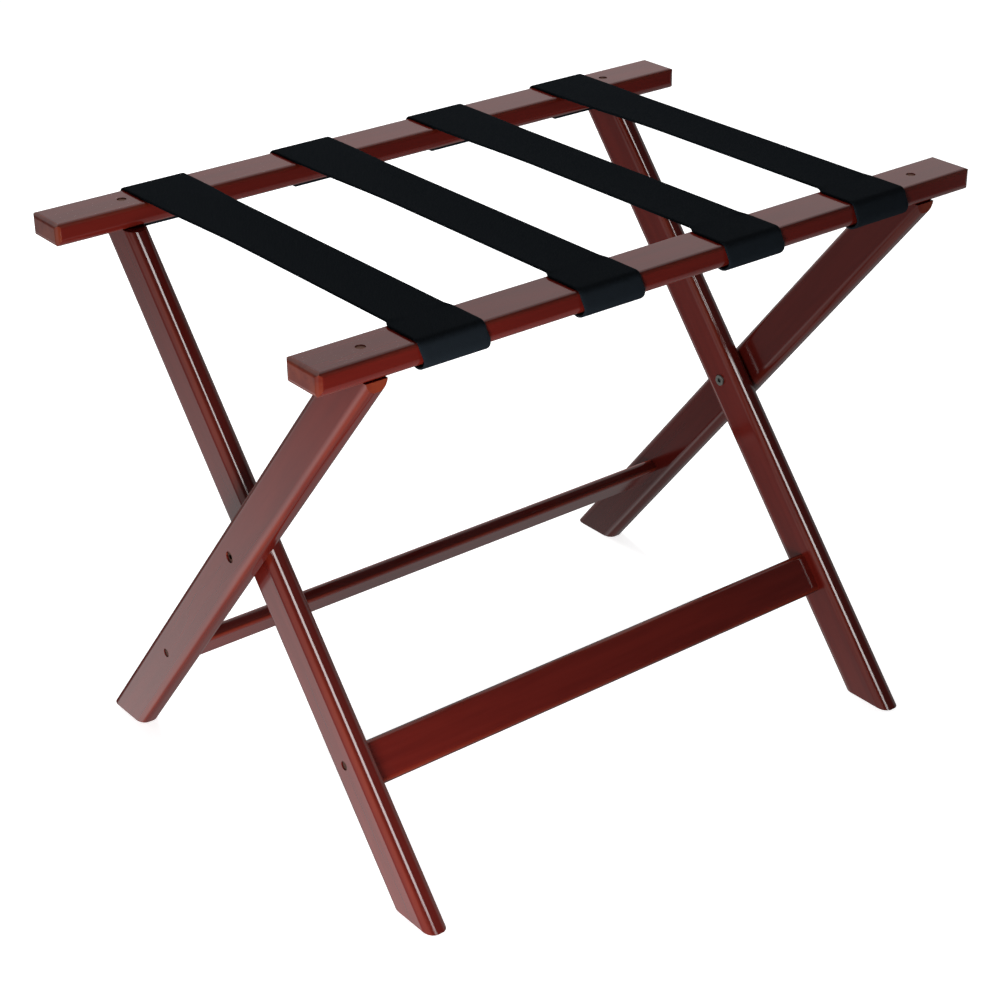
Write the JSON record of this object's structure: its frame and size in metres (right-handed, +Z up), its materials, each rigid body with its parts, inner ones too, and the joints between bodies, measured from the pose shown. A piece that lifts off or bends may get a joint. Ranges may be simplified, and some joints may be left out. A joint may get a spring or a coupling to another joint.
{
  "type": "folding luggage rack",
  "caption": "Folding wooden luggage rack: crossed board frames on a mid-height pivot, with webbing straps across the top rails that hold a suitcase off the floor.",
  "frame": {"origin": "on the floor, under the middle of the open rack", "axes": "+X along the rails, +Y from the front rail to the rear rail, +Z up"},
  "size_m": [0.666, 0.4688, 0.5022],
  "materials": {
    "stained_wood": "red-brown stain under gloss lacquer",
    "webbing": "black woven polypropylene webbing",
    "dark_steel": "bronzed steel",
    "zinc_steel": "zinc plated steel",
    "washer_plastic": "black nylon"
  },
  "bodies": {
    "outer_frame": {"front_rail": "stained_wood", "outer_leg_left": "stained_wood", "outer_leg_right": "stained_wood", "rear_stretcher": "stained_wood", "strap_1": "webbing", "strap_2": "webbing", "strap_3": "webbing", "strap_4": "webbing", "pivot_bolts": "dark_steel", "pivot_nuts": "zinc_steel", "pivot_washers": "washer_plastic", "rail_screws_outer": "dark_steel", "stretcher_screws_outer": "dark_steel", "strap_staples_outer": "zinc_steel"},
    "inner_frame": {"rear_rail": "stained_wood", "inner_leg_left": "stained_wood", "inner_leg_right": "stained_wood", "front_stretcher": "stained_wood", "rail_screws_inner": "dark_steel", "stretcher_screws_inner": "dark_steel", "strap_staples_inner": "zinc_steel"}
  },
  "joints": [
    {"name": "fold", "type": "hinge", "parent": "outer_frame", "child": "inner_frame", "pos_m": [0, 0, 0.2534], "axis": [1, 0, 0], "range_deg": [0, 65], "deforming": ["strap_1", "strap_2", "strap_3", "strap_4"]}
  ]
}
